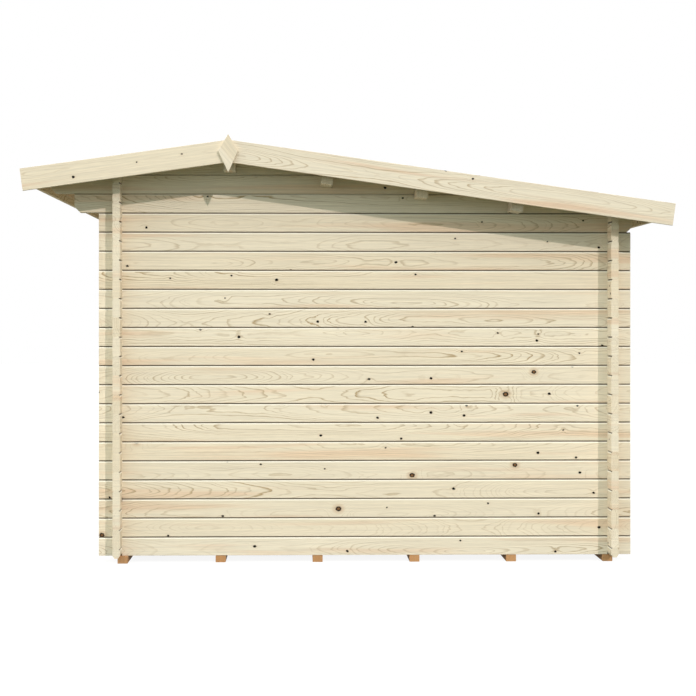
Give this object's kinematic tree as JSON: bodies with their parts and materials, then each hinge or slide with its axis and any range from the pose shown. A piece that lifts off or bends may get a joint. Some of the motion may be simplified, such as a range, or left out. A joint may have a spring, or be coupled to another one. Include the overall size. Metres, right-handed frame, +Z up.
{
  "type": "garden shed",
  "caption": "Timber garden shed of interlocking logs with a low offset-ridge roof, deep front overhang on stepped log brackets and a double door.",
  "frame": {"origin": "on the ground, under the middle of the roof's outline", "axes": "+X from the front wall, with the door, to the back wall; +Y to the left of someone who faces the door; +Z up"},
  "size_m": [3.825, 3.466, 2.53],
  "materials": {
    "wall_log": "planed untreated spruce",
    "trim_board": "planed untreated spruce",
    "roof_and_floor_board": "planed tongued and grooved spruce",
    "purlin_timber": "planed spruce",
    "door_timber": "planed untreated spruce",
    "treated_bearer": "sawn pressure-treated softwood",
    "zinc_steel": "zinc plated"
  },
  "bodies": {
    "root": {"back_eave_board": "trim_board", "back_roof_boards": "roof_and_floor_board", "back_wall": "wall_log", "bearer_1": "treated_bearer", "bearer_2": "treated_bearer", "bearer_3": "treated_bearer", "bearer_4": "treated_bearer", "bearer_5": "treated_bearer", "bearer_6": "treated_bearer", "door_handle": "zinc_steel", "door_head": "door_timber", "door_hinges": "zinc_steel", "door_threshold": "door_timber", "floor_boards": "roof_and_floor_board", "front_eave_board": "trim_board", "front_roof_boards": "roof_and_floor_board", "front_sill_log": "wall_log", "front_wall_left": "wall_log", "front_wall_right": "wall_log", "front_wall_top": "wall_log", "left_back_barge_board": "trim_board", "left_door_jamb": "door_timber", "left_door_leaf": "door_timber", "left_finial": "trim_board", "left_front_barge_board": "trim_board", "left_gable_top": "wall_log", "left_lower_bracket_log": "wall_log", "left_side_wall": "wall_log", "left_upper_bracket_log": "wall_log", "purlin_1": "purlin_timber", "purlin_2": "purlin_timber", "purlin_3": "purlin_timber", "ridge_purlin": "purlin_timber", "right_back_barge_board": "trim_board", "right_door_jamb": "door_timber", "right_door_leaf": "door_timber", "right_finial": "trim_board", "right_front_barge_board": "trim_board", "right_gable_top": "wall_log", "right_lower_bracket_log": "wall_log", "right_side_wall": "wall_log", "right_upper_bracket_log": "wall_log"}
  },
  "joints": []
}
